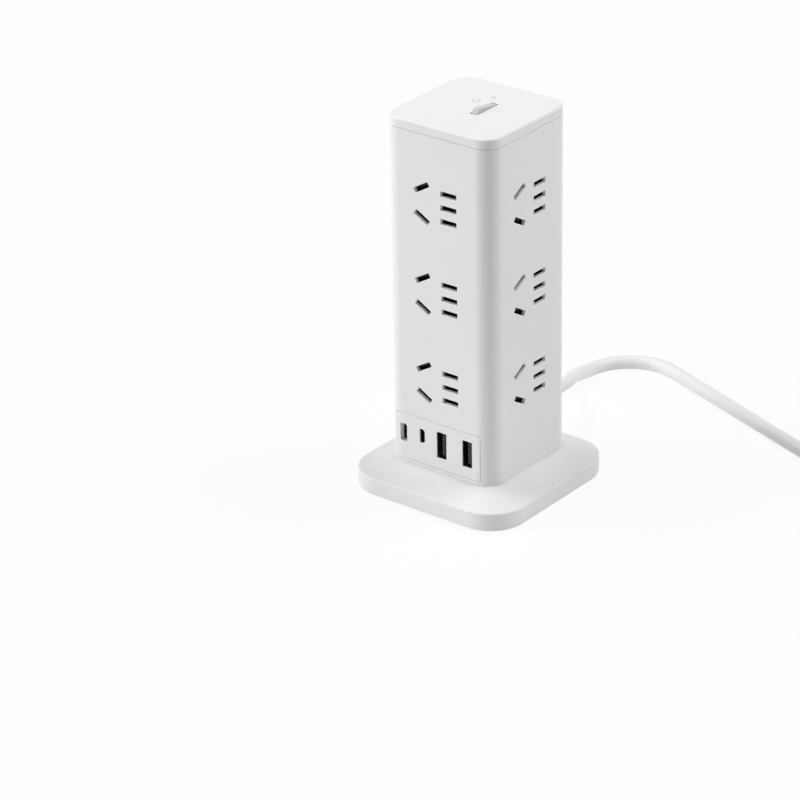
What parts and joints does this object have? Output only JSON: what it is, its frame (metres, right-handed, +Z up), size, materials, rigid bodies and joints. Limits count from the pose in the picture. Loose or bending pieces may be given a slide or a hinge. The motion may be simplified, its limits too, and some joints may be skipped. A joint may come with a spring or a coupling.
{
  "type": "tower power strip",
  "caption": "Square tower power strip with shuttered socket slots on three faces, a panel of USB ports, a rocker switch on its cap, a wide foot and a corded plug.",
  "frame": {"origin": "centre of the base's outline, on the surface that the rubber feet stand on", "axes": "+Z up the tower, -Y out of the face with the USB panel, +X to its right, +Y out of the cord's side"},
  "size_m": [0.2389, 0.2456, 0.1781],
  "materials": {
    "shell_plastic": "white satin moulded ABS, fine smooth surface",
    "rocker_plastic": "white polished moulded plastic",
    "inner_plastic": "unpainted light moulded plastic",
    "plug_plastic": "white satin moulded PVC",
    "shutter_plastic": "black moulded nylon",
    "switch_plastic": "black moulded plastic",
    "pipe_plastic": "clear tinted moulded plastic",
    "contact_brass": "rolled brass",
    "screw_steel": "plated steel",
    "port_steel": "nickel-plated folded steel",
    "can_aluminium": "drawn aluminium can",
    "board": "green glass-fibre board",
    "weight_steel": "bare rolled steel plate",
    "foot_rubber": "dark soft rubber",
    "cord_pvc": "light grey-white soft PVC"
  },
  "bodies": {
    "tower": {"front_shell": "shell_plastic", "rear_shell": "shell_plastic", "top_cap": "shell_plastic", "usb_panel": "shell_plastic", "base_cover": "shell_plastic", "base_plate": "inner_plastic", "switch_body": "switch_plastic", "switch_terminals": "contact_brass", "light_pipe": "pipe_plastic", "indicator_lamp": "pipe_plastic", "inner_screws": "screw_steel", "usb_board": "board", "usb_transformer": "switch_plastic", "usb_capacitors": "can_aluminium", "base_weight": "weight_steel", "rubber_feet": "foot_rubber", "tower_screws": "screw_steel", "base_screws": "screw_steel", "cord_gland": "cord_pvc", "cord_sheath_end": "cord_pvc", "cord_clamp": "inner_plastic", "supply_cord": "cord_pvc", "cord_coil": "cord_pvc", "cord_tie": "inner_plastic", "plug_body": "plug_plastic", "plug_pins": "contact_brass", "usb_c_port": "port_steel", "usb_micro_port": "port_steel", "usb_a_ports": "port_steel", "front_carrier": "inner_plastic", "front_spring_1": "screw_steel", "front_spring_2": "screw_steel", "front_spring_3": "screw_steel", "front_neutral_bar": "contact_brass", "front_live_bar": "contact_brass", "front_earth_bar": "contact_brass", "right_carrier": "inner_plastic", "right_spring_1": "screw_steel", "right_spring_2": "screw_steel", "right_spring_3": "screw_steel", "right_neutral_bar": "contact_brass", "right_live_bar": "contact_brass", "right_earth_bar": "contact_brass", "left_carrier": "inner_plastic", "left_spring_1": "screw_steel", "left_spring_2": "screw_steel", "left_spring_3": "screw_steel", "left_neutral_bar": "contact_brass", "left_live_bar": "contact_brass", "left_earth_bar": "contact_brass"},
    "rocker": {"rocker": "rocker_plastic"},
    "front_shutter_1": {"front_shutter_1": "shutter_plastic"},
    "front_shutter_2": {"front_shutter_2": "shutter_plastic"},
    "front_shutter_3": {"front_shutter_3": "shutter_plastic"},
    "right_shutter_1": {"right_shutter_1": "shutter_plastic"},
    "right_shutter_2": {"right_shutter_2": "shutter_plastic"},
    "right_shutter_3": {"right_shutter_3": "shutter_plastic"},
    "left_shutter_1": {"left_shutter_1": "shutter_plastic"},
    "left_shutter_2": {"left_shutter_2": "shutter_plastic"},
    "left_shutter_3": {"left_shutter_3": "shutter_plastic"}
  },
  "joints": [
    {"name": "rocker_hinge", "type": "hinge", "parent": "tower", "child": "rocker", "pos_m": [0.0034, 0.0009, 0.1726], "axis": [1, 0, 0], "range_deg": [0, 17]},
    {"name": "front_shutter_1_slide", "type": "slide", "parent": "tower", "child": "front_shutter_1", "axis": [0, 0, 1], "range_m": [0, 0.0033], "stiffness_N_per_m": 150, "springref_m": -0.004, "deforming": ["front_spring_1"]},
    {"name": "front_shutter_2_slide", "type": "slide", "parent": "tower", "child": "front_shutter_2", "axis": [0, 0, 1], "range_m": [0, 0.0033], "stiffness_N_per_m": 150, "springref_m": -0.004, "deforming": ["front_spring_2"]},
    {"name": "front_shutter_3_slide", "type": "slide", "parent": "tower", "child": "front_shutter_3", "axis": [0, 0, 1], "range_m": [0, 0.0033], "stiffness_N_per_m": 150, "springref_m": -0.004, "deforming": ["front_spring_3"]},
    {"name": "right_shutter_1_slide", "type": "slide", "parent": "tower", "child": "right_shutter_1", "axis": [0, 0, 1], "range_m": [0, 0.0033], "stiffness_N_per_m": 150, "springref_m": -0.004, "deforming": ["right_spring_1"]},
    {"name": "right_shutter_2_slide", "type": "slide", "parent": "tower", "child": "right_shutter_2", "axis": [0, 0, 1], "range_m": [0, 0.0033], "stiffness_N_per_m": 150, "springref_m": -0.004, "deforming": ["right_spring_2"]},
    {"name": "right_shutter_3_slide", "type": "slide", "parent": "tower", "child": "right_shutter_3", "axis": [0, 0, 1], "range_m": [0, 0.0033], "stiffness_N_per_m": 150, "springref_m": -0.004, "deforming": ["right_spring_3"]},
    {"name": "left_shutter_1_slide", "type": "slide", "parent": "tower", "child": "left_shutter_1", "axis": [0, 0, 1], "range_m": [0, 0.0033], "stiffness_N_per_m": 150, "springref_m": -0.004, "deforming": ["left_spring_1"]},
    {"name": "left_shutter_2_slide", "type": "slide", "parent": "tower", "child": "left_shutter_2", "axis": [0, 0, 1], "range_m": [0, 0.0033], "stiffness_N_per_m": 150, "springref_m": -0.004, "deforming": ["left_spring_2"]},
    {"name": "left_shutter_3_slide", "type": "slide", "parent": "tower", "child": "left_shutter_3", "axis": [0, 0, 1], "range_m": [0, 0.0033], "stiffness_N_per_m": 150, "springref_m": -0.004, "deforming": ["left_spring_3"]}
  ]
}
